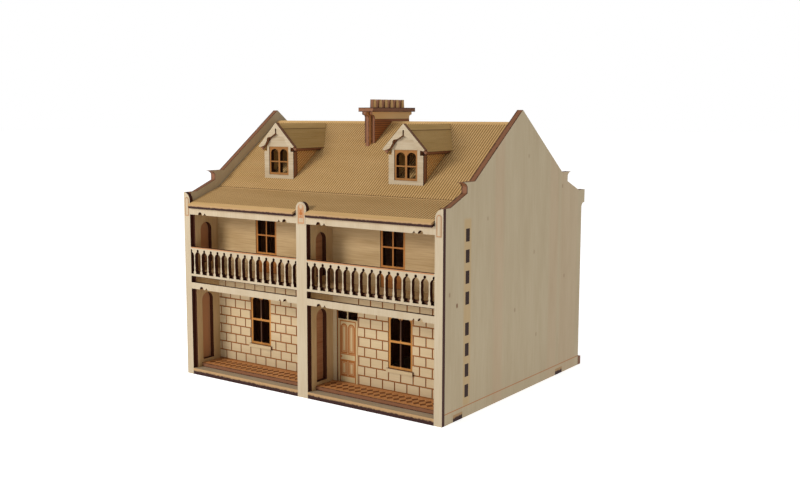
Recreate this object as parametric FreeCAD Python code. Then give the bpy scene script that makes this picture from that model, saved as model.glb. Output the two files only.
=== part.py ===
import FreeCAD, Part
import math
import os

os.makedirs("parts", exist_ok=True)

# A pair of two-storey terrace houses in laser-cut plywood, mirrored about a party wall.
# Millimetres.  While a piece is drawn, X = 0 is the middle of the party wall, Y = 0 is the
# front face of the verandah screen and Z = 0 is the table.  Every piece is moved by SHIFT_Y
# as it is written, so that the origin is the middle of the footprint, on the table.

# ---- Sheets and fits ------------------------------------------------------------------
PLY = 3.0                 # walls, floors, roof slopes
THIN = 2.0                # inserts, trims, chimney layers, low roofs
SCREEN = 2.0              # verandah screen
FIT = 0.05                # play round an insert in its opening, each side
LIFT_GAP = 0.3            # running gap round the lift-off roof
POST_GAP = 0.5            # gap between the verandah roof and the posts it passes

# ---- Overall --------------------------------------------------------------------------
HOUSE_WIDTH = 75.0        # one house, party wall's middle to side wall's outer face
WALL_DEPTH = 129.0        # screen's front face to the rear edge of the side walls
VERANDAH_DEPTH = 17.6     # screen's front face to the front wall's face
RIDGE_BACK = 1.0          # ridge behind the middle of the side walls
CREASE_Z = 91.8           # top of the roof where the pitch changes
MAIN_PITCH = 36.0         # degrees
LOW_PITCH = 17.9          # verandah roof and rear lower roof
FRONT_EAVE = 2.0          # how far the verandah roof reaches past the screen
REAR_EAVE = 3.0           # how far the rear lower roof reaches past the side walls

# ---- Verandah screen ------------------------------------------------------------------
SIDE_POST = 4.0
CENTRE_POST = 6.0
GROUND_BEAM_Z = 43.0
GROUND_BEAM = 3.1
SLIT = 3.2                # open slit between the ground beam and the balustrade
BOTTOM_RAIL = 1.1
BALUSTRADE_TOP = 63.6
HANDRAIL = 1.1
UPPER_BEAM_Z = 79.5
BALUSTER_PITCH = 4.5
BALUSTER = 0.7
BALUSTER_NECK = 0.5       # at the springing of the arches between balusters
BALUSTER_FOOT = 1.5
ARCH_SPRING = 3.3         # handrail's underside down to the balustrade arches' springing
KNOB_RADIUS = 0.7
GAP_STEP = 0.12           # top of a gap's square foot, as a part of its straight height
GAP_RING = 0.3            # narrowest place above the foot, as a part of the same height
GAP_WAVE = 0.1            # how far a gap's sides swing in and out
ARCH_LEAD = 1.0           # height over which a gap widens below its springing
ARCH_BOW = 0.25           # how far the arch bows from straight, up; twice that sideways
SIDE_POST_TOP = 90.2
CENTRE_POST_TOP = 89.3
SCALLOP_AT = 6.95         # from the post to the middle of the scallop in a beam's underside
SCALLOP_HALF = 1.3
SCALLOP_DEEP = 1.4
POINT_AT = 10.2           # from the post to the pointed notch
POINT_HALF = 1.1
POINT_DEEP = 1.15
POINT_BOW = 0.4           # how far along and up the notch's curved sides bow

# ---- Side walls -----------------------------------------------------------------------
PARAPET = 5.35            # side walls above the main roof, measured straight up
CAP_DEPTH = 5.4           # flat cap at each eave, from the screen's front face
KNEELER_Y = 18.5          # front face of the raised gable
KNEELER_OUT = 3.2
KNEELER_Z = 100.0
KNEELER_DROP = 1.8
KNEELER_NOSE = 0.1        # upright edge at a kneeler's tip
LOW_PARAPET_END = 95.35   # top of the low parapet where it meets the raised gable
REAR_CAP_OUT = 3.3
REAR_CAP_DROP = 6.7
REAR_COVE = (0.8, 0.5)    # out from the wall and down, a point of the cove under the rear cap
TAB = 5.5                 # height of the front wall's tabs in the side walls
TAB_PITCH = 8.9
TABS = 4                  # in each wall panel
LOWER_TABS_Z = 24.7
UPPER_TABS_Z = 64.6
BASE_TAB = 7.3
BASE_TAB_FRONT = 12.3     # from the screen's front face
BASE_TAB_REAR = 22.2      # from the rear edge of the side walls
PLINTH_Z = 4.2

# ---- Floors, linings and walls --------------------------------------------------------
PANEL_SPLIT = 46.4        # joint between the ground and first-floor wall panels
BALCONY_TOP = 51.6
LINING = 2.2
NICHE_WIDTH = 7.2
NICHE_FRONT = 5.7         # niche's front edge behind the screen's front face
NICHE_FOOT = 3.5          # niche above the floor it stands on
NICHE_HEAD = 8.6          # top of the niche below the lining's top
TILE_FRONT = 4.8
TILE_STEP = 2.0

# ---- Windows and doors of one house, X from the party wall's middle --------------------
WINDOW_X = 41.7
WINDOW_WIDTH = 13.1
WINDOW_FOOT = 15.5
WINDOW_HEAD = 39.5
SASH_SETBACK = 0.3        # windows and doors lie this far behind the wall's face
STILE = 1.1
FOOT_RAIL = 1.1
MULLION = 0.7
MEETING_RAIL_Z = 27.8
MEETING_RAIL = 1.0
LIGHT_RISE = 1.6
SILL_WIDTH = 14.3
SILL = 1.7
SILL_OUT = 1.0
DOOR_X = 12.05
DOOR_OPENING = 12.3
DOOR_HEAD = 39.0
LEAF_HEAD = 34.6
FANLIGHT = 3.6
FANLIGHT_WIDTH = 11.3
FRENCH_X = 37.5
FRENCH_WIDTH = 13.4
FRENCH_HEAD = 81.0
FRENCH_FOOT = 51.6
FRENCH_GLASS_FOOT = 61.5
FRENCH_BAR_Z = 69.8
REAR_DOOR_X = 14.0
REAR_WINDOW_WIDTH = 12.0
REAR_WINDOW_HEIGHT = 20.0
REAR_LIGHT_GAP = 1.2

# ---- Dormers, heights measured down from the dormer's ridge ------------------------------
DORMER_Y = 27.5
DORMER_SINK = 1.02        # dormer ridge below the main ridge
DORMER_HALF = 9.3
SHOULDER_DROP = 13.5
DORMER_NECK = 7.6
DORMER_EAVE_HALF = 11.7
DORMER_OPENING_HALF = 6.2
OPENING_FOOT_DROP = 24.8
OPENING_HEAD_DROP = 11.2
DORMER_LIGHT = 4.7
BAR_DROP = 18.4
DORMER_BAR = 1.1
DORMER_CROSS_BAR = 0.6
BARGE_HALF = 11.4
BARGE_TIP = (10.7, 11.5)  # out from the gable's middle, and down
BARGE_WAVE = ((7.2, 10.4, 8.9, 11.15), (6.3, 9.1), (5.8, 8.4), (4.5, 6.6, 5.6, 7.2))
BARGE_NECK = ((1.9, 5.6, 3.0, 6.3), (0.6, 4.9), (0.4, 4.6), (0.4, 2.8))
BARGE_TOP_OVER = 0.4

# ---- Chimney --------------------------------------------------------------------------
STACK_BEFORE = 14.3       # chimney's front face in front of the ridge
STACK_BEHIND = 14.7
CORE_OUT = 2.0
CORBEL_RISE = 1.33        # corbel's foot above the ridge
CORBEL = 3.25
CORBEL_OUT = 2.1
CAP_WIDTH = 8.6
CAP_OUT = 3.3
POTS = 6
POT = 2.4
POT_PITCH = 4.7
POT_HEIGHT = 3.9
POT_TAPER = 0.25

# ---- Hidden roof carriers -------------------------------------------------------------
LEDGE_DEEP = 6.0
TRUSS_DEEP = 24.4         # from the ridge down to the foot of a truss

# ---- Worked out from the above --------------------------------------------------------
INNER = HOUSE_WIDTH - PLY
RIDGE_Y = WALL_DEPTH / 2 + RIDGE_BACK
PARTY_HALF = PLY / 2
MAIN_TAN = math.tan(math.radians(MAIN_PITCH))
LOW_TAN = math.tan(math.radians(LOW_PITCH))
MAIN_DROP = PLY / math.cos(math.radians(MAIN_PITCH))
LOW_DROP = THIN / math.cos(math.radians(LOW_PITCH))
CREASE_Y = VERANDAH_DEPTH + PLY
REAR_CREASE_Y = 2 * RIDGE_Y - CREASE_Y
RIDGE_Z = CREASE_Z + (RIDGE_Y - CREASE_Y) * MAIN_TAN
REAR_WALL_Y = WALL_DEPTH - PLY
BASE_TABS = (BASE_TAB_FRONT, WALL_DEPTH - BASE_TAB_REAR)
DORMER_RIDGE = RIDGE_Z - DORMER_SINK
STACK_FRONT = RIDGE_Y - STACK_BEFORE
STACK_REAR = RIDGE_Y + STACK_BEHIND
CORBEL_FOOT = RIDGE_Z + CORBEL_RISE
CORBEL_TOP = CORBEL_FOOT + CORBEL
SLIT_Z = GROUND_BEAM_Z + GROUND_BEAM
RAIL_Z = SLIT_Z + SLIT
GAP_FOOT = RAIL_Z + BOTTOM_RAIL
BALCONY_Z = BALCONY_TOP - PLY
TILE_TOP = PLY + TILE_STEP
POST_HALF = CENTRE_POST / 2
POST_INNER = HOUSE_WIDTH - SIDE_POST
SHIFT_Y = (FRONT_EAVE - WALL_DEPTH - REAR_CAP_OUT) / 2


def main_top(y):
    """Height of the main roof's upper face, the same on both slopes."""
    return RIDGE_Z - abs(y - RIDGE_Y) * MAIN_TAN


def low_top(y):
    """Height of the upper face of the verandah roof, or of the rear lower roof."""
    past = max(CREASE_Y - y, y - REAR_CREASE_Y)
    return CREASE_Z - past * LOW_TAN


# ---- Drawing helpers ------------------------------------------------------------------
PLANES = {
    "XZ": (lambda u, v, w: FreeCAD.Vector(u, w, v), FreeCAD.Vector(0, 1, 0)),
    "YZ": (lambda u, v, w: FreeCAD.Vector(w, u, v), FreeCAD.Vector(1, 0, 0)),
    "XY": (lambda u, v, w: FreeCAD.Vector(u, v, w), FreeCAD.Vector(0, 0, 1)),
}


def sheet(plane, outline, at, thick):
    """Sheet cut to an outline.  A point (u, v) ends a straight cut, and (u, v, mu, mv) ends
    an arc through (mu, mv).  The sheet starts at `at` along the plane's normal."""
    place, normal = PLANES[plane]
    here = place(outline[-1][0], outline[-1][1], at)
    edges = []
    for point in outline:
        there = place(point[0], point[1], at)
        if len(point) == 4:
            edges.append(Part.Arc(here, place(point[2], point[3], at), there).toShape())
        elif here.distanceToPoint(there) > 1e-6:
            edges.append(Part.LineSegment(here, there).toShape())
        here = there
    return Part.Face(Part.Wire(edges)).extrude(normal * thick)


def box(x0, x1, y0, y1, z0, z1):
    return Part.makeBox(x1 - x0, y1 - y0, z1 - z0, FreeCAD.Vector(x0, y0, z0))


def rect(u0, u1, v0, v1):
    return [(u0, v0), (u1, v0), (u1, v1), (u0, v1)]


def arched(u0, u1, v0, v1, rise):
    """Opening from v0 up to an arched head whose crown is at v1."""
    return [(u0, v0), (u1, v0), (u1, v1 - rise), (u0, v1 - rise, (u0 + u1) / 2, v1)]


def mirrored(shape):
    return shape.mirror(FreeCAD.Vector(0, 0, 0), FreeCAD.Vector(1, 0, 0))


def write(name, shape):
    piece = shape.copy()
    piece.translate(FreeCAD.Vector(0, SHIFT_Y, 0))
    piece.exportStep("parts/" + name + ".step")


def write_pair(name, right):
    write(name + "_right", right)
    write(name + "_left", mirrored(right))


# ---- Base and side walls ----------------------------------------------------------------
def base_plate():
    plate = box(-INNER, INNER, 0, REAR_WALL_Y + PLY, 0, PLY)
    plate = plate.cut(box(-POST_HALF, POST_HALF, 0, SCREEN, 0, PLY))
    for side in (-1, 1):
        lo, hi = sorted((side * POST_INNER, side * INNER))
        plate = plate.cut(box(lo, hi, 0, SCREEN, 0, PLY))
        lo, hi = sorted((side * INNER, side * HOUSE_WIDTH))
        for middle in BASE_TABS:
            plate = plate.fuse(box(lo, hi, middle - BASE_TAB / 2, middle + BASE_TAB / 2, 0, PLY))
    return plate.removeSplitter()


def side_wall():
    """Right side wall: a raised gable on kneelers, low parapets and flat caps at the eaves."""
    tip = KNEELER_Y - KNEELER_OUT
    gable = [(KNEELER_Y, LOW_PARAPET_END), (KNEELER_Y, KNEELER_Z - KNEELER_DROP)]
    hollow = (KNEELER_Y - 0.25 * KNEELER_OUT, KNEELER_Z - 0.55 * KNEELER_DROP)
    gable.append((tip, KNEELER_Z - KNEELER_NOSE, hollow[0], hollow[1]))
    gable.append((tip, KNEELER_Z))
    foot = RIDGE_Y - (RIDGE_Z + PARAPET - KNEELER_Z) / MAIN_TAN
    gable.append((foot, KNEELER_Z))
    front = [(SCREEN, 0), (SCREEN, SIDE_POST_TOP), (CAP_DEPTH, SIDE_POST_TOP)] + gable
    peak = [(RIDGE_Y, RIDGE_Z + PARAPET)]
    rear = [(2 * RIDGE_Y - foot, KNEELER_Z), (2 * RIDGE_Y - tip, KNEELER_Z)]
    rear.append((2 * RIDGE_Y - tip, KNEELER_Z - KNEELER_NOSE))
    rear_face = 2 * RIDGE_Y - KNEELER_Y
    rear.append((rear_face, KNEELER_Z - KNEELER_DROP, 2 * RIDGE_Y - hollow[0], hollow[1]))
    rear.append((rear_face, LOW_PARAPET_END))
    cap_end = WALL_DEPTH + REAR_CAP_OUT
    cap_foot = SIDE_POST_TOP - REAR_CAP_DROP
    rear += [(2 * RIDGE_Y - CAP_DEPTH, SIDE_POST_TOP), (cap_end, SIDE_POST_TOP), (cap_end, cap_foot)]
    cove = (WALL_DEPTH + REAR_COVE[0], cap_foot - REAR_COVE[1])
    rear.append((WALL_DEPTH, cap_foot - KNEELER_DROP, cove[0], cove[1]))
    rear.append((WALL_DEPTH, 0))
    wall = sheet("YZ", front + peak + rear, INNER, PLY)
    for tab in wall_tabs(LOWER_TABS_Z) + wall_tabs(UPPER_TABS_Z):
        wall = wall.cut(tab)
    for middle in BASE_TABS:
        wall = wall.cut(box(INNER, HOUSE_WIDTH, middle - BASE_TAB / 2, middle + BASE_TAB / 2, 0, PLY))
    return wall


def wall_tabs(middle):
    """Tabs of one front wall panel, through the right side wall."""
    tabs = []
    for k in range(TABS):
        z = middle + (k - (TABS - 1) / 2) * TAB_PITCH
        tabs.append(box(INNER, HOUSE_WIDTH, VERANDAH_DEPTH, CREASE_Y, z - TAB / 2, z + TAB / 2))
    return tabs


def party_wall():
    """Wall between the houses: its top follows the undersides of all the roofs."""
    def under_main(y):
        return main_top(y) - MAIN_DROP - LIFT_GAP / math.cos(math.radians(MAIN_PITCH))

    outline = [(SCREEN, PLY), (SCREEN, low_top(SCREEN) - LOW_DROP)]
    outline += [(CREASE_Y, low_top(CREASE_Y) - LOW_DROP), (CREASE_Y, under_main(CREASE_Y))]
    outline += [(RIDGE_Y, under_main(RIDGE_Y)), (REAR_CREASE_Y, under_main(REAR_CREASE_Y))]
    outline += [(REAR_CREASE_Y, low_top(REAR_CREASE_Y) - LOW_DROP)]
    outline += [(REAR_WALL_Y, low_top(REAR_WALL_Y) - LOW_DROP), (REAR_WALL_Y, PLY)]
    return sheet("YZ", outline, -PARTY_HALF, PLY)


def roof_ledge():
    """Rafter glued inside a side wall, under the main roof and the rear lower roof."""
    seat = MAIN_DROP + LIFT_GAP / math.cos(math.radians(MAIN_PITCH))
    tops = [(CREASE_Y, main_top(CREASE_Y) - seat), (RIDGE_Y, RIDGE_Z - seat)]
    tops += [(REAR_CREASE_Y, main_top(REAR_CREASE_Y) - seat)]
    tops += [(REAR_CREASE_Y, low_top(REAR_CREASE_Y) - LOW_DROP)]
    tops += [(REAR_WALL_Y, low_top(REAR_WALL_Y) - LOW_DROP)]
    feet = [(y, z - LEDGE_DEEP) for y, z in reversed(tops) if (y, z) != tops[3]]
    return sheet("YZ", tops + feet, INNER - THIN, THIN)


# ---- Verandah ---------------------------------------------------------------------------
def beam_notches(foot):
    """Scallop and pointed notch near each post, cut up into a beam whose underside is foot."""
    cuts = []
    for post, way in ((POST_HALF, 1), (POST_INNER, -1)):
        s = post + way * SCALLOP_AT
        scallop = [(s - SCALLOP_HALF, foot), (s + SCALLOP_HALF, foot, s, foot + SCALLOP_DEEP)]
        cuts.append(sheet("XZ", scallop, 0, SCREEN))
        p = post + way * POINT_AT
        bow = foot + POINT_BOW * POINT_DEEP
        point = [(p - POINT_HALF, foot), (p, foot + POINT_DEEP, p - POINT_BOW * POINT_HALF, bow)]
        point += [(p + POINT_HALF, foot, p + POINT_BOW * POINT_HALF, bow)]
        cuts.append(sheet("XZ", point, 0, SCREEN))
    return cuts


def baluster_gap(middle):
    """Opening between two balusters: a stepped foot, wavy sides and an ogee arch that ends
    in a round knob hole."""
    head = BALUSTRADE_TOP - HANDRAIL
    spring = head - ARCH_SPRING
    foot = (BALUSTER_PITCH - BALUSTER_FOOT) / 2
    half = (BALUSTER_PITCH - BALUSTER) / 2
    neck = half - 0.25
    wide = (BALUSTER_PITCH - BALUSTER_NECK) / 2
    step = GAP_FOOT + GAP_STEP * (spring - GAP_FOOT)
    ring = GAP_FOOT + GAP_RING * (spring - GAP_FOOT)
    sides = [(foot, GAP_FOOT), (foot, step), (neck + GAP_WAVE, ring, half, (step + ring) / 2)]
    sides += [(half, spring - ARCH_LEAD, half + GAP_WAVE, (ring + spring) / 2)]
    knob = head - KNOB_RADIUS
    waist = knob - 0.75 * KNOB_RADIUS
    crest = (spring + waist) / 2 + ARCH_BOW
    sides += [(wide, spring), (0.66 * KNOB_RADIUS, waist, wide / 2 + 2 * ARCH_BOW, crest)]
    right = [(middle + p[0], p[1]) + ((middle + p[2], p[3]) if len(p) == 4 else ()) for p in sides]
    outline = [(middle - foot, GAP_FOOT)] + right
    outline.append((middle - 0.66 * KNOB_RADIUS, waist, middle, head))
    ends = [(p[0], p[1]) for p in sides]
    for k in range(len(sides) - 1, 0, -1):
        u, v = ends[k - 1]
        if len(sides[k]) == 4:
            outline.append((middle - u, v, middle - sides[k][2], sides[k][3]))
        else:
            outline.append((middle - u, v))
    return sheet("XZ", outline, 0, SCREEN)


def verandah_screen():
    """One sheet across both houses: posts, beams, balustrades and arched post tops."""
    half_post = [(POST_HALF, low_beam_top()), (POST_HALF, CENTRE_POST_TOP - POST_HALF)]
    turn = POST_HALF * math.sqrt(0.5)
    outline = [(0, 0), (HOUSE_WIDTH, 0), (HOUSE_WIDTH, SIDE_POST_TOP)]
    bow = SIDE_POST_TOP - SIDE_POST * (1 - math.sqrt(0.5))
    outline.append((POST_INNER, SIDE_POST_TOP - SIDE_POST, HOUSE_WIDTH - SIDE_POST * math.sqrt(0.5), bow))
    outline += [(POST_INNER, low_beam_top())] + half_post
    outline.append((0, CENTRE_POST_TOP, turn, CENTRE_POST_TOP - POST_HALF + turn))
    half = sheet("XZ", outline, 0, SCREEN)
    cuts = [box(POST_HALF, POST_INNER, 0, SCREEN, 0, GROUND_BEAM_Z)]
    cuts.append(box(POST_HALF, POST_INNER, 0, SCREEN, SLIT_Z, RAIL_Z))
    cuts.append(box(POST_HALF, POST_INNER, 0, SCREEN, BALUSTRADE_TOP, UPPER_BEAM_Z))
    cuts += beam_notches(GROUND_BEAM_Z) + beam_notches(UPPER_BEAM_Z)
    middle = (POST_HALF + POST_INNER) / 2
    balusters = int((POST_INNER - POST_HALF) / BALUSTER_PITCH)
    room = box(POST_HALF, POST_INNER, 0, SCREEN, GAP_FOOT, BALUSTRADE_TOP)
    for k in range(balusters + 1):
        gap = baluster_gap(middle + (k - balusters / 2) * BALUSTER_PITCH)
        cuts.append(gap.common(room))
    half = half.cut(cuts)
    return half.fuse(mirrored(half)).removeSplitter()


def low_beam_top():
    """The upper beam reaches up to the verandah roof's underside at the screen's face."""
    return low_top(0) - LOW_DROP


def balcony_floor():
    return box(PARTY_HALF, INNER, SCREEN, VERANDAH_DEPTH, BALCONY_Z, BALCONY_TOP)


def niche_lining(x0, foot, top_front, top_rear):
    """Lining across the verandah's end with a tall round-headed niche."""
    outline = [(SCREEN, foot), (VERANDAH_DEPTH, foot), (VERANDAH_DEPTH, top_rear), (SCREEN, top_front)]
    head = top_front - NICHE_HEAD
    radius = NICHE_WIDTH / 2
    niche = arched(NICHE_FRONT, NICHE_FRONT + NICHE_WIDTH, foot + NICHE_FOOT, head, radius)
    lining = sheet("YZ", outline, x0, LINING)
    return lining.cut(sheet("YZ", niche, x0, LINING))


def tile_plate():
    x0 = PARTY_HALF + LINING
    return box(x0, INNER - LINING, TILE_FRONT, VERANDAH_DEPTH, PLY, TILE_TOP)


# ---- Front walls, windows and doors -------------------------------------------------------
def front_panel(foot, top, tabs_middle, openings):
    panel = box(PARTY_HALF, INNER, VERANDAH_DEPTH, CREASE_Y, foot, top)
    for tab in wall_tabs(tabs_middle):
        panel = panel.fuse(tab)
    for opening in openings:
        panel = panel.cut(sheet("XZ", opening, VERANDAH_DEPTH, PLY))
    return panel.removeSplitter()


def wall_top():
    return low_top(VERANDAH_DEPTH) - LOW_DROP


def ground_window():
    """Sash window cut from one sheet: two arched lights over two square ones."""
    x0 = WINDOW_X - WINDOW_WIDTH / 2
    x1 = WINDOW_X + WINDOW_WIDTH / 2
    at = VERANDAH_DEPTH + SASH_SETBACK
    window = sheet("XZ", rect(x0 + FIT, x1 - FIT, WINDOW_FOOT + FIT, WINDOW_HEAD - FIT), at, THIN)
    for lo, hi in ((x0 + STILE, WINDOW_X - MULLION / 2), (WINDOW_X + MULLION / 2, x1 - STILE)):
        upper = arched(lo, hi, MEETING_RAIL_Z + MEETING_RAIL / 2, WINDOW_HEAD - STILE / 2, LIGHT_RISE)
        window = window.cut(sheet("XZ", upper, at, THIN))
        lower = rect(lo, hi, WINDOW_FOOT + FOOT_RAIL, MEETING_RAIL_Z - MEETING_RAIL / 2)
        window = window.cut(sheet("XZ", lower, at, THIN))
    return window


def window_sill():
    x0 = WINDOW_X - SILL_WIDTH / 2
    y0 = VERANDAH_DEPTH - SILL_OUT
    return box(x0, x0 + SILL_WIDTH, y0, VERANDAH_DEPTH, WINDOW_FOOT - SILL, WINDOW_FOOT)


def front_door():
    """Insert that fills the doorway: leaf and jambs in one sheet, under a fanlight of two panes."""
    half = DOOR_OPENING / 2 - FIT
    at = VERANDAH_DEPTH + SASH_SETBACK
    door = sheet("XZ", rect(DOOR_X - half, DOOR_X + half, PLY, DOOR_HEAD - FIT), at, THIN)
    for lo, hi in ((-FANLIGHT_WIDTH / 2, -MULLION / 2), (MULLION / 2, FANLIGHT_WIDTH / 2)):
        pane = rect(DOOR_X + lo, DOOR_X + hi, LEAF_HEAD, LEAF_HEAD + FANLIGHT)
        door = door.cut(sheet("XZ", pane, at, THIN))
    return door


def french_window():
    x0 = FRENCH_X - FRENCH_WIDTH / 2
    x1 = FRENCH_X + FRENCH_WIDTH / 2
    at = VERANDAH_DEPTH + SASH_SETBACK
    window = sheet("XZ", rect(x0 + FIT, x1 - FIT, FRENCH_FOOT + FIT, FRENCH_HEAD - FIT), at, THIN)
    for lo, hi in ((x0 + STILE, FRENCH_X - MULLION / 2), (FRENCH_X + MULLION / 2, x1 - STILE)):
        lower = rect(lo, hi, FRENCH_GLASS_FOOT, FRENCH_BAR_Z - MULLION / 2)
        upper = rect(lo, hi, FRENCH_BAR_Z + MULLION / 2, FRENCH_HEAD - STILE)
        for pane in (lower, upper):
            window = window.cut(sheet("XZ", pane, at, THIN))
    return window


def rear_wall():
    """Plain wall with a ground-floor door and window lights cut straight in its sheet."""
    wall = box(-INNER, INNER, REAR_WALL_Y, WALL_DEPTH, PLY, low_top(WALL_DEPTH) - LOW_DROP)
    lights = []
    for foot in (WINDOW_FOOT, FRENCH_FOOT + NICHE_FOOT):
        lights += four_lights(WINDOW_X, foot)
    lights += four_lights(REAR_DOOR_X, FRENCH_FOOT + NICHE_FOOT)
    lights += four_lights(REAR_DOOR_X, LEAF_HEAD - REAR_WINDOW_HEIGHT / 2)[2:]
    for light in lights:
        wall = wall.cut(light)
        wall = wall.cut(mirrored(light))
    return wall


def four_lights(x, foot):
    """Two by two panes of a rear window, lower pair first."""
    cuts = []
    width = (REAR_WINDOW_WIDTH - REAR_LIGHT_GAP) / 2
    height = (REAR_WINDOW_HEIGHT - REAR_LIGHT_GAP) / 2
    for z in (foot, foot + height + REAR_LIGHT_GAP):
        for x0 in (x - REAR_WINDOW_WIDTH / 2, x + REAR_LIGHT_GAP / 2):
            cuts.append(box(x0, x0 + width, REAR_WALL_Y, WALL_DEPTH, z, z + height))
    return cuts


# ---- Roofs ----------------------------------------------------------------------------------
def slope_profile(y_top, y_end, top, pitch, thick):
    """Cross-section of a sloping sheet with square-cut ends, in Y and Z.  It falls away from
    y_top to y_end."""
    sink = math.copysign(thick * math.sin(math.radians(pitch)), y_top - y_end)
    drop = thick * math.cos(math.radians(pitch))
    a = (y_top, top(y_top))
    b = (y_end, top(y_end))
    return [a, b, (b[0] + sink, b[1] - drop), (a[0] + sink, a[1] - drop)]


def verandah_roof():
    profile = slope_profile(CREASE_Y, -FRONT_EAVE, low_top, LOW_PITCH, THIN)
    roof = sheet("YZ", profile, -INNER, 2 * INNER)
    below = UPPER_BEAM_Z - PLY
    above = RIDGE_Z
    notch = POST_HALF + POST_GAP
    roof = roof.cut(box(-notch, notch, -2 * FRONT_EAVE, SCREEN, below, above))
    for side in (-1, 1):
        lo, hi = sorted((side * (POST_INNER - POST_GAP), side * HOUSE_WIDTH))
        roof = roof.cut(box(lo, hi, -2 * FRONT_EAVE, SCREEN, below, above))
    return roof


def rear_lower_roof():
    profile = slope_profile(REAR_CREASE_Y, WALL_DEPTH + REAR_EAVE, low_top, LOW_PITCH, THIN)
    return sheet("YZ", profile, -INNER, 2 * INNER)


def main_slope_front():
    """Front slope of the lift-off roof, mitred at the ridge and square-cut at its foot."""
    foot = CREASE_Y + LIFT_GAP * math.cos(math.radians(MAIN_PITCH))
    profile = slope_profile(RIDGE_Y + PLY, foot, ridge_line_front, MAIN_PITCH, PLY)
    half = INNER - LIFT_GAP
    slope = sheet("YZ", profile, -half, 2 * half)
    return slope.cut(box(-HOUSE_WIDTH, HOUSE_WIDTH, RIDGE_Y, WALL_DEPTH, 0, 2 * RIDGE_Z))


def ridge_line_front(y):
    """The front slope's upper face, carried on past the ridge."""
    return RIDGE_Z + (y - RIDGE_Y) * MAIN_TAN


def main_slope_rear():
    slope = main_slope_front()
    return slope.mirror(FreeCAD.Vector(0, RIDGE_Y, 0), FreeCAD.Vector(0, 1, 0))


def roof_truss():
    """Triangle that holds the two slopes at their pitch, under the middle of one house."""
    peak = RIDGE_Z - MAIN_DROP
    foot = RIDGE_Z - TRUSS_DEEP
    reach = (peak - foot) / MAIN_TAN
    outline = [(RIDGE_Y - reach, foot), (RIDGE_Y + reach, foot), (RIDGE_Y, peak)]
    return sheet("YZ", outline, FRENCH_X - THIN / 2, THIN)


# ---- Dormers --------------------------------------------------------------------------------
def below_roof():
    """Everything under the main roof's upper faces, used to cut pieces that stand on it."""
    outline = [(0, main_top(0)), (0, 0), (2 * RIDGE_Y, 0), (2 * RIDGE_Y, main_top(0)), (RIDGE_Y, RIDGE_Z)]
    return sheet("YZ", outline, -HOUSE_WIDTH, 2 * HOUSE_WIDTH)


def dormer_front(roof):
    peak = DORMER_RIDGE - THIN * math.sqrt(2)
    shoulder = DORMER_RIDGE - SHOULDER_DROP
    outline = [(FRENCH_X - DORMER_HALF, CREASE_Z), (FRENCH_X + DORMER_HALF, CREASE_Z)]
    outline += [(FRENCH_X + DORMER_HALF, shoulder), (FRENCH_X + DORMER_NECK, shoulder)]
    outline += [(FRENCH_X + DORMER_NECK, peak - DORMER_NECK), (FRENCH_X, peak)]
    outline += [(FRENCH_X - DORMER_NECK, peak - DORMER_NECK), (FRENCH_X - DORMER_NECK, shoulder)]
    outline += [(FRENCH_X - DORMER_HALF, shoulder)]
    front = sheet("XZ", outline, DORMER_Y, PLY)
    half = DORMER_OPENING_HALF
    foot = DORMER_RIDGE - OPENING_FOOT_DROP
    opening = rect(FRENCH_X - half, FRENCH_X + half, foot, DORMER_RIDGE - OPENING_HEAD_DROP)
    return front.cut(sheet("XZ", opening, DORMER_Y, PLY)).cut(roof)


def dormer_window(roof):
    """Two square lights under two arched ones, in an insert that fills the dormer's opening."""
    half = DORMER_OPENING_HALF - FIT
    at = DORMER_Y + SASH_SETBACK
    foot = DORMER_RIDGE - OPENING_FOOT_DROP
    head = DORMER_RIDGE - OPENING_HEAD_DROP
    cross = DORMER_RIDGE - BAR_DROP
    window = sheet("XZ", rect(FRENCH_X - half, FRENCH_X + half, foot + FIT, head - FIT), at, THIN)
    bar = DORMER_BAR / 2
    for side in (-1, 1):
        lo, hi = sorted((FRENCH_X + side * bar, FRENCH_X + side * (bar + DORMER_LIGHT)))
        lower = rect(lo, hi, foot + DORMER_BAR, cross - DORMER_CROSS_BAR / 2)
        upper = arched(lo, hi, cross + DORMER_CROSS_BAR / 2, head - DORMER_BAR, LIGHT_RISE)
        window = window.cut(sheet("XZ", lower, at, THIN)).cut(sheet("XZ", upper, at, THIN))
    return window.cut(roof)


def barge_points(side):
    """Inner edge of half a bargeboard, from its tip up to the keyhole under the gable's peak."""
    points = []
    for p in (BARGE_TIP,) + BARGE_WAVE + BARGE_NECK:
        here = (FRENCH_X + side * p[0], DORMER_RIDGE - p[1])
        middle = (FRENCH_X + side * p[2], DORMER_RIDGE - p[3]) if len(p) == 4 else ()
        points.append(here + middle)
    return points


def bargeboard():
    """Gable board: straight outer edges, an ogee inner edge and a keyhole under its peak."""
    top = DORMER_RIDGE + BARGE_TOP_OVER
    right = barge_points(1)
    left = barge_points(-1)
    outline = [(FRENCH_X, top), (FRENCH_X + BARGE_HALF, top - BARGE_HALF)] + right
    crown = left[-1]
    outline.append((crown[0], crown[1], FRENCH_X, crown[1] + FRENCH_X - crown[0]))
    for k in range(len(left) - 1, 0, -1):
        outline.append(left[k - 1][:2] + left[k][2:])
    outline.append((FRENCH_X - BARGE_HALF, top - BARGE_HALF))
    return sheet("XZ", outline, DORMER_Y - THIN, THIN)


def dormer_cheek(side, roof):
    top = DORMER_RIDGE - THIN * math.sqrt(2) - DORMER_HALF
    lo, hi = sorted((FRENCH_X + side * (DORMER_HALF - THIN), FRENCH_X + side * DORMER_HALF))
    return box(lo, hi, DORMER_Y + PLY, RIDGE_Y, CREASE_Z, top).cut(roof)


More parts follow.
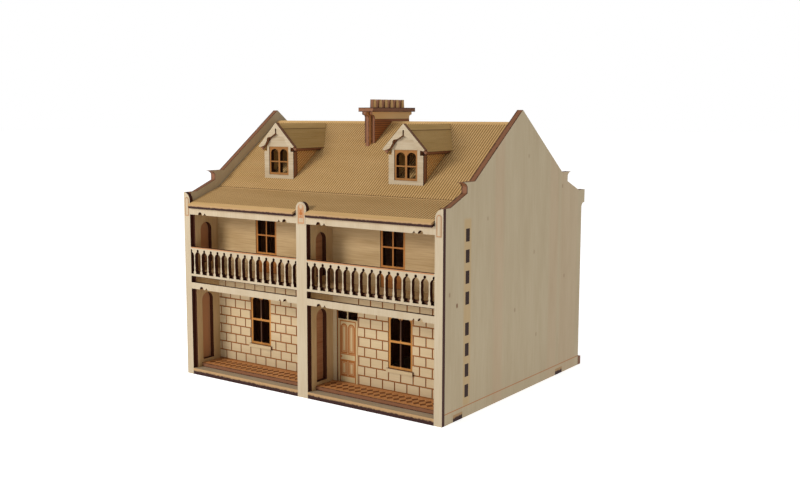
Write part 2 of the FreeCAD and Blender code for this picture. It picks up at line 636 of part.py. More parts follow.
def dormer_slope(side, roof):
    """One slope of the dormer roof, mitred at its ridge, cut to lie on the main slope."""
    ridge = (FRENCH_X, DORMER_RIDGE)
    eave = (FRENCH_X + side * DORMER_EAVE_HALF, DORMER_RIDGE - DORMER_EAVE_HALF)
    root = THIN * math.sqrt(0.5)
    outline = [ridge, eave, (eave[0] - side * root, eave[1] - root), (FRENCH_X, DORMER_RIDGE - 2 * root)]
    return sheet("XZ", outline, DORMER_Y, RIDGE_Y - DORMER_Y).cut(roof)


# ---- Chimney --------------------------------------------------------------------------------
def stack_layer(x0, out, roof):
    """One layer of the stack, whose head swells forwards and backwards in a cyma."""
    front = STACK_FRONT - out
    rear = STACK_REAR + out
    turn = CORBEL_FOOT + 0.55 * CORBEL
    hollow = CORBEL_FOOT + 0.35 * CORBEL
    shelf = CORBEL_TOP - 0.2 * CORBEL
    belly = shelf - 0.22 * CORBEL
    outline = [(front, CREASE_Z), (front, CORBEL_FOOT)]
    outline.append((front - 0.5 * CORBEL_OUT, turn, front - 0.1 * CORBEL_OUT, hollow))
    outline.append((front - CORBEL_OUT, shelf, front - 0.9 * CORBEL_OUT, belly))
    outline += [(front - CORBEL_OUT, CORBEL_TOP), (rear + CORBEL_OUT, CORBEL_TOP)]
    outline.append((rear + CORBEL_OUT, shelf))
    outline.append((rear + 0.5 * CORBEL_OUT, turn, rear + 0.9 * CORBEL_OUT, belly))
    outline.append((rear, CORBEL_FOOT, rear + 0.1 * CORBEL_OUT, hollow))
    outline.append((rear, CREASE_Z))
    return sheet("YZ", outline, x0, THIN).cut(roof)


def chimney_cap():
    y0 = STACK_FRONT - CAP_OUT
    y1 = STACK_REAR + CAP_OUT
    cap = box(-CAP_WIDTH / 2, CAP_WIDTH / 2, y0, y1, CORBEL_TOP, CORBEL_TOP + THIN)
    lo, hi = pot_row()
    return cap.cut(box(-THIN / 2 - FIT, THIN / 2 + FIT, lo - FIT, hi + FIT, CORBEL_TOP, CORBEL_TOP + THIN))


def pot_row():
    middle = (STACK_FRONT + STACK_REAR) / 2
    half = ((POTS - 1) * POT_PITCH + POT) / 2
    return middle - half, middle + half


def chimney_pots():
    """Six pots cut as the teeth of one sheet, whose root fills the slot in the cap."""
    lo, hi = pot_row()
    top = CORBEL_TOP + THIN
    outline = [(lo, CORBEL_TOP), (hi, CORBEL_TOP)]
    for k in reversed(range(POTS)):
        y0 = lo + k * POT_PITCH
        outline += [(y0 + POT, top), (y0 + POT - POT_TAPER, top + POT_HEIGHT)]
        outline += [(y0 + POT_TAPER, top + POT_HEIGHT), (y0, top)]
    return sheet("YZ", outline, -THIN / 2, THIN)


# ---- Write every piece ------------------------------------------------------------------------
write("base_plate", base_plate())
write_pair("side_wall", side_wall())
write("party_wall", party_wall())
write_pair("roof_ledge", roof_ledge())
write("rear_wall", rear_wall())
write("rear_plinth", box(-HOUSE_WIDTH, HOUSE_WIDTH, WALL_DEPTH, WALL_DEPTH + PLY, 0, PLINTH_Z))
write("verandah_screen", verandah_screen())
write_pair("balcony_floor", balcony_floor())
write_pair("tile_plate", tile_plate())

for place, x0 in (("outer", INNER - LINING), ("inner", PARTY_HALF)):
    write_pair("niche_lining_ground_" + place, niche_lining(x0, PLY, BALCONY_Z, BALCONY_Z))
    roof_front = low_top(SCREEN) - LOW_DROP
    write_pair("niche_lining_upper_" + place, niche_lining(x0, BALCONY_TOP, roof_front, wall_top()))

half_window = WINDOW_WIDTH / 2
half_door = DOOR_OPENING / 2
half_french = FRENCH_WIDTH / 2
window_hole = rect(WINDOW_X - half_window, WINDOW_X + half_window, WINDOW_FOOT, WINDOW_HEAD)
door_hole = rect(DOOR_X - half_door, DOOR_X + half_door, PLY, DOOR_HEAD)
french_hole = rect(FRENCH_X - half_french, FRENCH_X + half_french, FRENCH_FOOT, FRENCH_HEAD)
write_pair("front_wall_lower", front_panel(PLY, PANEL_SPLIT, LOWER_TABS_Z, [window_hole, door_hole]))
write_pair("front_wall_upper", front_panel(PANEL_SPLIT, wall_top(), UPPER_TABS_Z, [french_hole]))
write_pair("ground_window", ground_window())
write_pair("window_sill", window_sill())
write_pair("front_door", front_door())
write_pair("french_window", french_window())

write("verandah_roof", verandah_roof())
write("rear_lower_roof", rear_lower_roof())
write("main_roof_front", main_slope_front())
write("main_roof_rear", main_slope_rear())
write_pair("roof_truss", roof_truss())

roof_space = below_roof()
write_pair("dormer_front", dormer_front(roof_space))
write_pair("dormer_window", dormer_window(roof_space))
write_pair("dormer_bargeboard", bargeboard())
for place, side in (("outer", 1), ("inner", -1)):
    write_pair("dormer_cheek_" + place, dormer_cheek(side, roof_space))
    write_pair("dormer_roof_" + place, dormer_slope(side, roof_space))

write("chimney_core", stack_layer(-THIN / 2, CORE_OUT, roof_space))
write("chimney_side_right", stack_layer(THIN / 2, 0, roof_space))
write("chimney_side_left", stack_layer(-1.5 * THIN, 0, roof_space))
write("chimney_cap", chimney_cap())
write("chimney_pots", chimney_pots())
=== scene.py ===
# %% [markdown]
# # A pair of plywood terrace houses
# The real thing is a kit: thin plywood sheets, cut and engraved by a laser, slotted together
# and glued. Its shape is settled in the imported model, so this lesson loads that as a fixed
# frame, keeps every sheet whose shape is already right, and makes new meshes only where the
# laser engraved a pattern that the light catches: the corrugated roofs, the block walls, the
# doors and the tiled floors. Loading first means that every size below can be read from the
# frame, and nothing has to be fitted afterwards.

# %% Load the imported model
import math

import bmesh
import bpy
import numpy as np
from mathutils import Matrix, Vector


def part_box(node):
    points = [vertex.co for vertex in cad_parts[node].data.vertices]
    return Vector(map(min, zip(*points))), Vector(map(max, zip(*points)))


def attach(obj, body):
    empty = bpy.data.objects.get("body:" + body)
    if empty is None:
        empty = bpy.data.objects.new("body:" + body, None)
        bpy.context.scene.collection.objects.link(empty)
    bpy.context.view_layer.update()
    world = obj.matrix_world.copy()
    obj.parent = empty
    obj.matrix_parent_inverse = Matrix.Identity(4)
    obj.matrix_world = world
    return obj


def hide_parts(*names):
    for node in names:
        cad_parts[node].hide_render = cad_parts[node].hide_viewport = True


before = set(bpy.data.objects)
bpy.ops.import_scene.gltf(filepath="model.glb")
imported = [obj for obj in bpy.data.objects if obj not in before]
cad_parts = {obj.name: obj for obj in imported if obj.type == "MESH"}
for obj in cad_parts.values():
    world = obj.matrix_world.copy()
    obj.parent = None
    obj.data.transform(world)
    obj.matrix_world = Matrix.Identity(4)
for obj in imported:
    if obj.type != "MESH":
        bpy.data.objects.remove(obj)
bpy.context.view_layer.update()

# %% [markdown]
# ## Millimetres and corners
# Blender works in metres, but a maker of a model this small thinks in millimetres. One factor
# turns one into the other, and one helper reads the corners of a packed sheet, so that places
# come from the frame instead of being typed twice.

# %% Read corners in millimetres
MM = 0.001


def span(node):
    """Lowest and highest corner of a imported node, each divided by one millimetre."""
    lo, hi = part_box(node)
    return np.array(lo) / MM, np.array(hi) / MM


screen_lo, screen_hi = span("verandah_screen")
wall_lo, wall_hi = span("front_wall_lower_right")
print("screen from", screen_lo.round(2), "to", screen_hi.round(2))

# %% [markdown]
# ## Camera
# The model is looked at from its front right corner, a little above the eaves. A camera could
# be aimed with a constraint, but a place and three angles say the same in one line each, and
# they never change when something else in the scene moves.

# %% Camera
camera_data = bpy.data.cameras.new("camera")
camera_data.lens = 45.144
camera_data.sensor_width = 36
camera_data.shift_x = 0.0213
camera_data.shift_y = -0.01475
camera = bpy.data.objects.new("camera", camera_data)
camera.location = (0.2907, -0.40245, 0.12845)
camera.rotation_euler = (math.radians(90 - 7.12), 0, math.radians(36.06))
bpy.context.scene.collection.objects.link(camera)
bpy.context.scene.camera = camera
print("camera", [round(x, 3) for x in camera.location])

# %% [markdown]
# ## Floor and light
# Products are shot on a light table with one soft lamp. The lamp stands near, low in front and a
# little to the left, so its light reaches under the verandah and leaves the right side wall to
# the fill. The table glows, which keeps the floor white and the shadows faint. The
# camera sees the world at full white, while the model is lit by a dimmer copy of it, which the
# Light Path node tells apart.

# %% Colours and nodes
def linear(hex_colour):
    """sRGB hex to linear light: a twelfth or so in the toe, and a power of 2.4 above it."""
    c = np.array([int(hex_colour[i:i + 2], 16) for i in (1, 3, 5)]) / 255
    c = np.where(c <= 0.04045, c / 12.92, ((c + 0.055) / 1.055) ** 2.4)
    return (*c.tolist(), 1.0)


def add(tree, kind, inputs=None, **settings):
    """Adds a node: each input, by name or number, gets a value or another node's output."""
    node = tree.nodes.new(kind)
    for key, value in settings.items():
        setattr(node, key, value)
    for key, value in (inputs or {}).items():
        if isinstance(value, bpy.types.NodeSocket):
            tree.links.new(value, node.inputs[key])
        else:
            node.inputs[key].default_value = value
    return node


# %% Floor, world and lamp
FILL = 0.46
GLOW = 0.70
LAMP_WATTS = 2.45
LAMP_PLACE = (-0.24, -0.56, 0.30)
LAMP_SIZE = 0.22

floor_mesh = bpy.data.meshes.new("floor")
reach = 6.0
corners = [(-reach, -reach, 0), (reach, -reach, 0), (reach, reach, 0), (-reach, reach, 0)]
floor_mesh.from_pydata(corners, [], [(0, 1, 2, 3)])
floor = bpy.data.objects.new("floor", floor_mesh)
bpy.context.scene.collection.objects.link(floor)
paper = bpy.data.materials.new("white paper on a light table, matt")
paper.use_nodes = True
sheet_shader = paper.node_tree.nodes["Principled BSDF"]
sheet_shader.inputs["Base Color"].default_value = linear("#f4f4f4")
sheet_shader.inputs["Emission Color"].default_value = linear("#ffffff")
sheet_shader.inputs["Emission Strength"].default_value = GLOW
sheet_shader.inputs["Roughness"].default_value = 0.9
floor_mesh.materials.append(paper)

world = bpy.data.worlds.new("white studio")
bpy.context.scene.world = world
world.use_nodes = True
sky = world.node_tree
seen = add(sky, "ShaderNodeLightPath").outputs["Is Camera Ray"]
level = add(sky, "ShaderNodeMapRange", {"Value": seen, "To Min": FILL, "To Max": 1.0})
sky.links.new(level.outputs[0], sky.nodes["Background"].inputs["Strength"])
sky.nodes["Background"].inputs["Color"].default_value = linear("#ffffff")

lamp_data = bpy.data.lights.new("softbox", "AREA")
lamp_data.energy = LAMP_WATTS
lamp_data.shape = "DISK"
lamp_data.size = LAMP_SIZE
lamp = bpy.data.objects.new("softbox", lamp_data)
lamp.location = LAMP_PLACE
aim = Vector((0, 0, 0.06)) - lamp.location
lamp.rotation_euler = aim.to_track_quat("-Z", "Y").to_euler()
bpy.context.scene.collection.objects.link(lamp)
bpy.context.scene.view_settings.view_transform = "Standard"
print("softbox", LAMP_WATTS, "W and fill", FILL)

# %% [markdown]
# ## Laser-cut plywood
# Birch plywood is pale, with fine grain one way and slow clouds of colour. The laser chars each
# cut edge: almost black at the two faces, red-brown in the middle of the sheet. An edge could
# be a second material slot, but a face's own normal already says which it is: where it doesn't
# point along the sheet's axis, it is a cut edge. So one material does the whole sheet, and the
# distance from the sheet's middle gives the char its stripes. The number on each corner called
# burn is how deep the laser engraved there, which browns the face.

# %% Laser-cut plywood material
CHAR_DARK = "#2b0d05"
CHAR_RED = "#82563a"
ENGRAVED = "#a8662e"
ACROSS = 0.45
ALONG = 11.0
CLOUD_ACROSS = 7.0
CLOUD_ALONG = 45.0
GREY_RANGE = (0.75, 1.3)
BROWNED_AT = 0.6
EDGE_LEAN = (0.55, 0.35)
RAGGED = 0.2
RAGGED_SIZE = 1.2
EVEN_PROFILE = (0.27, 0.47)
TOP_LIT_PROFILE = (0.2, -0.02)
GRAIN_DEPTH = 0.05


def grain_scale(grain, across, along):
    """Mapping scale for a pattern stretched along the grain axis, from two sizes in mm."""
    return [1 / (MM * (along if axis == grain else across)) for axis in "XYZ"]


def mix(tree, factor, one, other):
    """Colour between two, each a hex colour or another node's output."""
    ends = [linear(c) if isinstance(c, str) else c for c in (one, other)]
    node = add(tree, "ShaderNodeMix", {0: factor, 6: ends[0], 7: ends[1]}, data_type="RGBA")
    return node.outputs[2]


def laser_ply(name, pale, dark, axis, middle, thick, grain, marks=None, figure=1.0, scorch=ENGRAVED,
              heart=CHAR_RED, top_lit=False):
    """Plywood sheet, cut by laser.  axis is the sheet's normal, and middle and thick say, in
    mm along it, where its mid-plane lies and how thick it is.  scorch is the colour that light
    engraving leaves, and heart the colour of the middle of a cut edge.  top_lit edges are
    pale in their upper half and charred below."""
    material = bpy.data.materials.new(name)
    material.use_nodes = True
    tree = material.node_tree
    shader = tree.nodes["Principled BSDF"]
    where = add(tree, "ShaderNodeTexCoord")
    place = where.outputs["Object"]

    streaks = add(tree, "ShaderNodeMapping", {"Vector": place, "Scale": grain_scale(grain, ACROSS, ALONG)})
    fine = add(tree, "ShaderNodeTexNoise", {"Vector": streaks.outputs[0], "Scale": 1, "Detail": 4})
    clouds = grain_scale(grain, CLOUD_ACROSS, CLOUD_ALONG)
    slow = add(tree, "ShaderNodeMapping", {"Vector": place, "Scale": clouds})
    slow.inputs["Location"].default_value = (middle, thick, len(name))
    cloud = add(tree, "ShaderNodeTexNoise", {"Vector": slow.outputs[0], "Scale": 1, "Detail": 3})
    grey = add(tree, "ShaderNodeMath", {0: fine.outputs[0], 1: cloud.outputs[0]}, operation="ADD")
    spread = {"Value": grey.outputs[0], "To Max": figure}
    spread["From Min"], spread["From Max"] = GREY_RANGE
    tone = add(tree, "ShaderNodeMapRange", spread)
    face = mix(tree, tone.outputs[0], pale, dark)
    for factor, colour in marks(tree, place) if marks else []:
        face = mix(tree, factor, face, colour)

    burn = add(tree, "ShaderNodeAttribute", attribute_name="burn").outputs["Fac"]
    browned = add(tree, "ShaderNodeMapRange", {"Value": burn, "From Max": BROWNED_AT})
    charred = add(tree, "ShaderNodeMapRange", {"Value": burn, "From Min": BROWNED_AT, "From Max": 1.0})
    face = mix(tree, browned.outputs[0], face, scorch)
    face = mix(tree, charred.outputs[0], face, CHAR_DARK)

    lean = add(tree, "ShaderNodeVectorMath", {0: where.outputs["Normal"], 1: axis}, operation="DOT_PRODUCT")
    square = add(tree, "ShaderNodeMath", {0: lean.outputs["Value"]}, operation="ABSOLUTE")
    cut = {"Value": square.outputs[0], "From Min": EDGE_LEAN[0], "From Max": EDGE_LEAN[1]}
    edge = add(tree, "ShaderNodeMapRange", cut)
    along = add(tree, "ShaderNodeVectorMath", {0: place, 1: axis}, operation="DOT_PRODUCT")
    off = add(tree, "ShaderNodeMath", {0: along.outputs["Value"], 1: middle * MM}, operation="SUBTRACT")
    away = add(tree, "ShaderNodeMath", {0: off.outputs[0]}, operation="ABSOLUTE")
    ragged = add(tree, "ShaderNodeTexNoise", {"Vector": place, "Scale": 1 / (RAGGED_SIZE * MM), "Detail": 3})
    swing = RAGGED * thick * MM
    wobble = add(tree, "ShaderNodeMapRange", {"Value": ragged.outputs[0], "To Min": -swing, "To Max": swing})
    measured = off if top_lit else away
    stripe = add(tree, "ShaderNodeMath", {0: measured.outputs[0], 1: wobble.outputs[0]}, operation="ADD")
    start, full = TOP_LIT_PROFILE if top_lit else EVEN_PROFILE
    char = {"Value": stripe.outputs[0], "From Min": start * thick * MM, "From Max": full * thick * MM}
    black = add(tree, "ShaderNodeMapRange", char)
    rim = mix(tree, black.outputs[0], heart, CHAR_DARK)
    tree.links.new(mix(tree, edge.outputs[0], face, rim), shader.inputs["Base Color"])

    shader.inputs["Roughness"].default_value = 0.62
    shader.inputs["IOR"].default_value = 1.45
    shader.inputs["Specular IOR Level"].default_value = 0.25
    grain_height = {"Height": fine.outputs[0], "Strength": 0.15, "Distance": GRAIN_DEPTH * MM}
    relief = add(tree, "ShaderNodeBump", grain_height)
    tree.links.new(relief.outputs[0], shader.inputs["Normal"])
    return material


print("laser-cut plywood is ready")

# %% [markdown]
# ## Which sheet gets which wood
# Every packed sheet is flat, so its row here is short: the axis it faces along, the way its
# grain runs, and its tone. A table keeps fifty-odd sheets in one loop, and a left and a right
# piece share a row because the loop matches the start of the name.

# %% Tones of the plywood
TONES = {
    "bright": ("#b5a58b", "#a38f71"),
    "wall": ("#c0a276", "#a7885b"),
    "side": ("#b7a789", "#a08b6a"),
    # dim is a painted shade tone: the party wall and the side walls' inner faces stand back in the niches,
    # where little light falls.
    "dim": ("#b07c54", "#935f3c"),
    "brick": ("#a56534", "#884e25"),
    "frame": ("#b9803d", "#9a6028"),
    "deep frame": ("#9c6933", "#80521f"),
    "roof": ("#d8b077", "#c0985c"),
    "tile": ("#c7915e", "#ae7744"),
    "dull": ("#d0aa6c", "#b79251"),
    "block": ("#c5ae89", "#b49b74"),
    "door": ("#c4ad82", "#ae9467"),
}
SHEETS = [
    ("verandah_screen", "Y", "Z", "bright", "front_ply"),
    ("base_plate", "Z", "X", "bright", "wall_ply"),
    ("side_wall", "X", "Z", "side", "wall_ply"),
    ("party_wall", "X", "Y", "dim", "wall_ply"),
    ("roof_ledge", "X", "Y", "wall", "wall_ply"),
    ("rear_wall", "Y", "X", "wall", "wall_ply"),
    ("rear_plinth", "Y", "X", "bright", "wall_ply"),
    ("balcony_floor", "Z", "X", "wall", "wall_ply"),
    ("niche_lining", "X", "Z", "wall", "front_ply"),
    ("front_wall_upper", "Y", "X", "wall", "wall_ply"),
    ("window_sill", "Y", "X", "block", "front_ply"),
    ("ground_window", "Y", "Z", "frame", "front_ply"),
    ("dormer_window", "Y", "Z", "deep frame", "front_ply"),
    ("dormer_front", "Y", "X", "bright", "front_ply"),
    ("dormer_bargeboard", "Y", "X", "bright", "front_ply"),
    ("roof_truss", "X", "Y", "wall", "roof_ply"),
    ("chimney_core", "X", "Y", "tile", "roof_ply"),
    ("chimney_side", "X", "Y", "brick", "roof_ply"),
    ("chimney_cap", "Z", "Y", "roof", "roof_ply"),
    ("chimney_pots", "X", "Z", "roof", "roof_ply"),
]
AXES = {"X": (1, 0, 0), "Y": (0, 1, 0), "Z": (0, 0, 1)}


# %% [markdown]
# ## Marks on the imported sheets
# Some sheets carry a few engraved lines or knots and nothing else. Each mark is a small bump of
# factor around a place, worked out from Object coordinates in millimetres, so no new mesh is
# needed. The side walls get their engraved plinth line, a few pin knots and the yellow scorch
# that the laser leaves beside the row of slots. Faces that point into the rooms get painted
# shade, a darker tone where little light reaches them.

# %% Marks by place
def axis_mm(tree, place, axis):
    """One object coordinate in millimetres."""
    parts = add(tree, "ShaderNodeSeparateXYZ", {0: place})
    return add(tree, "ShaderNodeMath", {0: parts.outputs[axis], 1: 1 / MM}, operation="MULTIPLY").outputs[0]


def near(tree, value, middle, half, fade):
    """1 within half of middle, falling to 0 over the fade's width."""
    off = add(tree, "ShaderNodeMath", {0: value, 1: middle}, operation="SUBTRACT")
    away = add(tree, "ShaderNodeMath", {0: off.outputs[0]}, operation="ABSOLUTE")
    fall = {"Value": away.outputs[0], "From Min": half, "From Max": half + fade, "To Min": 1, "To Max": 0}
    return add(tree, "ShaderNodeMapRange", fall, interpolation_type="SMOOTHSTEP").outputs[0]


def patch(tree, u, v, middle, half, fade, strength=1.0):
    """Factor of a soft-edged rectangle: the product of two falls."""
    one = near(tree, u, middle[0], half[0], fade)
    other = near(tree, v, middle[1], half[1], fade)
    both = add(tree, "ShaderNodeMath", {0: one, 1: other}, operation="MULTIPLY")
    return add(tree, "ShaderNodeMath", {0: both.outputs[0], 1: strength}, operation="MULTIPLY").outputs[0]


FRONT_EDGE = screen_lo[1]
PLINTH_LINE = 4.8
WALL_MIDDLE = (60, 80)
SLOT_ROW = (45, 39)
PIN_KNOT = (0.15, 0.45)
KNOTS = [(11.0, 49.2, 1.0), (5.2, 54.5, 0.45), (60.7, 39.5, 0.4), (82.0, 24.5, 0.35), (78.7, 64.2, 0.3),
         (107.0, 93.3, 0.4), (110.8, 48.8, 0.35), (72.0, 109.0, 0.3), (35.5, 83.5, 0.3)]
PINK_BANDS = [(45.6, 2.5, 0.16), (98.6, 3.0, 0.14), (115.6, 8.0, 0.12)]
SLOT_SCORCH = (19.1, 2.0, 1.6)
ROOF_BELOW_POSTS = 8
HANDRAIL_LINE = ((37.0, 63.35), (33.6, 0.12))
BRICK = 1.05
CORBEL_BAND = 3.4
MULLION_HALF = 0.45
LOWER_LIGHT = (6.6, 5.2)
UPPER_LIGHT = (5.9, 4.7)
PINK = "#b98a6c"
PALE_EDGE = "#a5835a"
KNOT_BROWN = "#6b4220"
SCORCH_YELLOW = "#b9904e"
# Painted shade: near black for the inner face of the rear wall, so the rooms look dark through the windows.
INTERIOR_SHADE = "#1c0f07"
# Painted shade for the bar between the window lights.
SHADED = "#4a2c16"


def side_wall_marks(tree, place):
    """Plinth line, pin knots, faint pink bands and scorched slots, at distances behind the
    screen's front face, and painted shade on the inner faces under the roof."""
    y = axis_mm(tree, place, "Y")
    z = axis_mm(tree, place, "Z")
    tall, reach = WALL_MIDDLE
    found = [(patch(tree, y, z, (FRONT_EDGE + middle, tall), (half, reach), 3.0, strength), PINK)
             for middle, half, strength in PINK_BANDS]
    middle, half, fade = SLOT_SCORCH
    scorch = patch(tree, y, z, (FRONT_EDGE + middle, SLOT_ROW[0]), (half, SLOT_ROW[1]), fade, 0.4)
    found.append((scorch, SCORCH_YELLOW))
    found += [(patch(tree, y, z, (FRONT_EDGE + knot_y, knot_z), PIN_KNOT, 0.8, strength), KNOT_BROWN)
              for knot_y, knot_z, strength in KNOTS]
    found.append((near(tree, z, PLINTH_LINE, 0.12, 0.12), ENGRAVED))
    # The inner faces under the roof get the dim tone as painted shade.
    normal = add(tree, "ShaderNodeSeparateXYZ", {0: add(tree, "ShaderNodeTexCoord").outputs["Normal"]})
    outward = {0: normal.outputs["X"], 1: axis_mm(tree, place, "X")}
    inner = add(tree, "ShaderNodeMath", outward, operation="MULTIPLY")
    faces_in = add(tree, "ShaderNodeMath", {0: inner.outputs[0], 1: -1.0}, operation="LESS_THAN")
    eaves = screen_hi[2] - ROOF_BELOW_POSTS
    under_roof = add(tree, "ShaderNodeMath", {0: z, 1: eaves}, operation="LESS_THAN")
    both = {0: faces_in.outputs[0], 1: under_roof.outputs[0]}
    found.append((add(tree, "ShaderNodeMath", both, operation="MULTIPLY").outputs[0], TONES["dim"][0]))
    return found


def screen_marks(tree, place):
    """A burnt line along the top of each handrail, between the posts."""
    x = add(tree, "ShaderNodeMath", {0: axis_mm(tree, place, "X")}, operation="ABSOLUTE").outputs[0]
    z = axis_mm(tree, place, "Z")
    return [(patch(tree, x, z, *HANDRAIL_LINE, 0.25, 0.8), ENGRAVED)]


def brick_marks(tree, place):
    """Courses of bricks, as one thin line in every course below the pale corbel."""
    z = axis_mm(tree, place, "Z")
    course = add(tree, "ShaderNodeMath", {0: z, 1: BRICK}, operation="FLOORED_MODULO").outputs[0]
    line = near(tree, course, BRICK / 2, 0.1, 0.15)
    corbel = add(tree, "ShaderNodeMath", {0: z, 1: cap_foot - CORBEL_BAND}, operation="GREATER_THAN")
    return [(line, KNOT_BROWN), (corbel.outputs[0], TONES["roof"][0])]


def mullion_marks(tree, place):
    """The bar between the lights is painted dark as painted shade, since it lies back in the shade of the
    opening.
    """
    x = add(tree, "ShaderNodeMath", {0: axis_mm(tree, place, "X")}, operation="ABSOLUTE").outputs[0]
    z = axis_mm(tree, place, "Z")
    middle = (sash_lo[0] + sash_hi[0]) / 2
    lights = ((sash_lo[2] + LOWER_LIGHT[0], LOWER_LIGHT[1]), (sash_hi[2] - UPPER_LIGHT[0], UPPER_LIGHT[1]))
    return [(patch(tree, x, z, (middle, at), (MULLION_HALF, half), 0.1), SHADED) for at, half in lights]


def inner_face_shade(tree, place):
    """The face towards the front is inside the rooms, and is painted near black as painted shade, so the
    rooms look dark through the windows.
    """
    normal = add(tree, "ShaderNodeTexCoord").outputs["Normal"]
    lean = add(tree, "ShaderNodeVectorMath", {0: normal, 1: (0, -1, 0)}, operation="DOT_PRODUCT")
    inner = add(tree, "ShaderNodeMath", {0: lean.outputs["Value"], 1: 0.9}, operation="GREATER_THAN")
    return [(inner.outputs[0], INTERIOR_SHADE)]


cap_foot = span("chimney_cap")[0][2]
sash_lo, sash_hi = span("ground_window_right")
MARKS = {"side_wall": side_wall_marks, "verandah_screen": screen_marks, "chimney_side": brick_marks,
         "rear_wall": inner_face_shade, "ground_window": mullion_marks}
# Darker hearts are char together with painted shade, on cut edges that face into the openings and niches.
DARK_HEART = "#2a1208"
HEARTS = {"verandah_screen": "#3a1509", "base_plate": PALE_EDGE, "niche_lining": "#4a2412",
          "ground_window": DARK_HEART, "dormer_window": DARK_HEART, "front_wall_upper": DARK_HEART}
FIGURE = {"side_wall": 0.4, "verandah_screen": 0.6}

# %% Give every packed sheet its wood
for stem, axis, grain, tone, slot in SHEETS:
    for node in [n for n in sorted(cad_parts) if n.startswith(stem)]:
        lo, hi = span(node)
        at = "XYZ".index(axis)
        name = "birch plywood, laser cut, " + node.replace("_", " ")
        wood = laser_ply(name, *TONES[tone], AXES[axis], (lo[at] + hi[at]) / 2, hi[at] - lo[at], grain,
                         MARKS.get(stem), FIGURE.get(stem, 1.0), heart=HEARTS.get(stem, CHAR_RED),
                         top_lit=stem == "base_plate")
        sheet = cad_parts[node]
        sheet.data.materials.clear()
        sheet.data.materials.append(wood)
print(len(bpy.data.materials), "materials so far")

# %% [markdown]
# ## A closed sheet between two grids
# Every engraved piece is the same thing: a grid of points for the engraved face, a second grid
# for the back, and walls that join them round the outline and round each opening. Modelling
# that by hand would take a bevel and a boolean for each groove. Working it out as whole arrays
# is shorter, and the grid's lines can be put exactly where a groove begins and ends.

# %% Closed sheet from two grids
def shell(name, front, back, keep=None, burn=None):
    """A closed sheet between two grids of points.  Each kept cell gives one quad in front and
    one behind, and each side of a cell with no kept neighbour gives a wall between them.  The
    sum of the tetrahedra under the faces tells which way round they point."""
    rows, columns = front.shape[:2]
    number = np.arange(rows * columns).reshape(rows, columns)
    cells = np.stack([number[:-1, :-1], number[:-1, 1:], number[1:, 1:], number[1:, :-1]], -1)
    keep = np.ones((rows - 1, columns - 1), bool) if keep is None else keep
    behind = rows * columns
    quads = [cells[keep], cells[keep][:, ::-1] + behind]
    ring = np.pad(keep, 1)
    beside = [ring[:-2, 1:-1], ring[1:-1, 2:], ring[2:, 1:-1], ring[1:-1, :-2]]
    for side, neighbour in enumerate(beside):
        edge = cells[keep & ~neighbour][:, [(side + 1) % 4, side]]
        quads.append(np.column_stack([edge, edge[:, ::-1] + behind]))
    used, quads = np.unique(np.concatenate(quads), return_inverse=True)
    quads = quads.reshape(-1, 4)
    points = np.concatenate([front.reshape(-1, 3), back.reshape(-1, 3)])[used] * MM
    a, b, c, d = (points[quads[:, i]] for i in range(4))
    if (a * np.cross(b, c)).sum() + (a * np.cross(c, d)).sum() < 0:
        quads = quads[:, ::-1]
    mesh = bpy.data.meshes.new(name)
    mesh.from_pydata(points.tolist(), [], quads.tolist())
    depth = np.zeros(2 * behind)
    depth[:behind] = 0 if burn is None else burn.ravel()
    mesh.attributes.new("burn", "FLOAT", "POINT").data.foreach_set("value", depth[used].astype(np.float32))
    return mesh


def lines(lo, hi, breaks, step):
    """Grid lines from lo to hi: every break between them, and more so that none lie a step apart."""
    stops = np.unique(np.round([lo, hi, *(b for b in breaks if lo < b < hi)], 4))
    runs = [np.linspace(a, b, max(2, math.ceil((b - a) / step) + 1))[:-1] for a, b in zip(stops, stops[1:])]
    return np.append(np.concatenate(runs), hi)


def place_piece(name, mesh, wood, body, slot, *nodes):
    """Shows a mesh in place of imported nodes, on their body."""
    mesh.materials.append(wood)
    piece = bpy.data.objects.new(name, mesh)
    bpy.context.scene.collection.objects.link(piece)
    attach(piece, body)
    if nodes:
        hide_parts(*nodes)
    print(name, len(mesh.polygons), "faces")
    return piece


# %% [markdown]
# ## Corrugated roofs
# A corrugated iron roof is imitated by engraving one groove beside another down the slope. The
# profile is one cosine wave across the roof, carried straight down the slope, so only a few
# rows of points are needed. Near the ridge and the eave the grooves stop and leave a plain band
# as flashing, which the rows do by fading the wave out.

# %% Corrugated slopes
PITCH = 1.32
GROOVE = 0.26
STEPS = 8
PLY = 3.0
THIN = 2.0
OLIVE = "#73542a"
WAVE_POWER = 1.4
WAVE_BURN = 0.54
screen_y = screen_lo[1]
screen_back = screen_hi[1]


